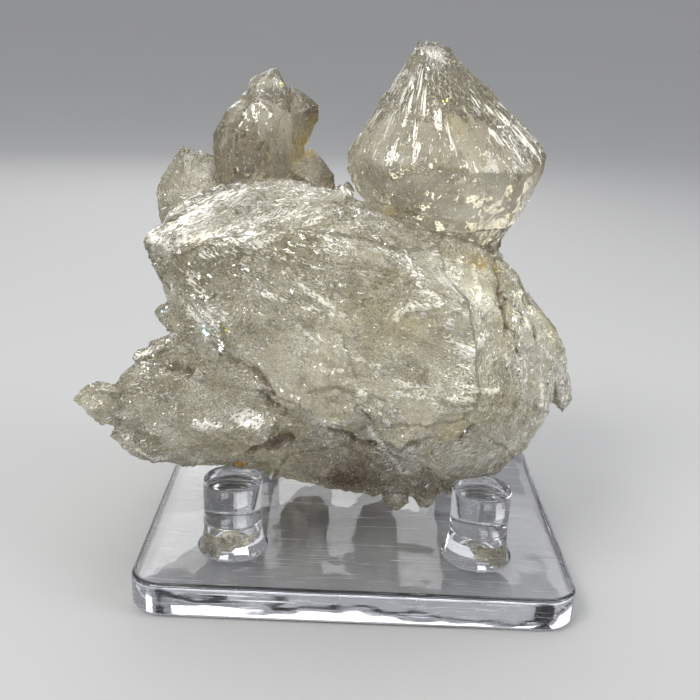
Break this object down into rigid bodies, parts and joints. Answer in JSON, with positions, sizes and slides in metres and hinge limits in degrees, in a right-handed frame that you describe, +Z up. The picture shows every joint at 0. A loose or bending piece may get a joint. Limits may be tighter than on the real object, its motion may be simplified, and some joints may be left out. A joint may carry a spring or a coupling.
{
  "type": "elestial quartz crystal cluster on an acrylic stand",
  "caption": "Elestial quartz cluster with stepped, clear and smoky crystals grown together, resting on the pegs of a clear acrylic display stand.",
  "frame": {"origin": "middle of the underside of the stand's base plate", "axes": "+Z up, +X to the right as seen from the front, +Y to the back"},
  "size_m": [0.1108, 0.076, 0.1143],
  "materials": {
    "quartz": "glassy and partly etched, clear to smoky and milky, with silvery inner veils and faint yellow iron stain",
    "acrylic": "clear polished acrylic with fine scratches"
  },
  "bodies": {
    "root": {"quartz_cluster": "quartz", "base_plate": "acrylic", "front_left_peg": "acrylic", "front_right_peg": "acrylic", "rear_left_peg": "acrylic", "rear_right_peg": "acrylic"}
  },
  "joints": []
}
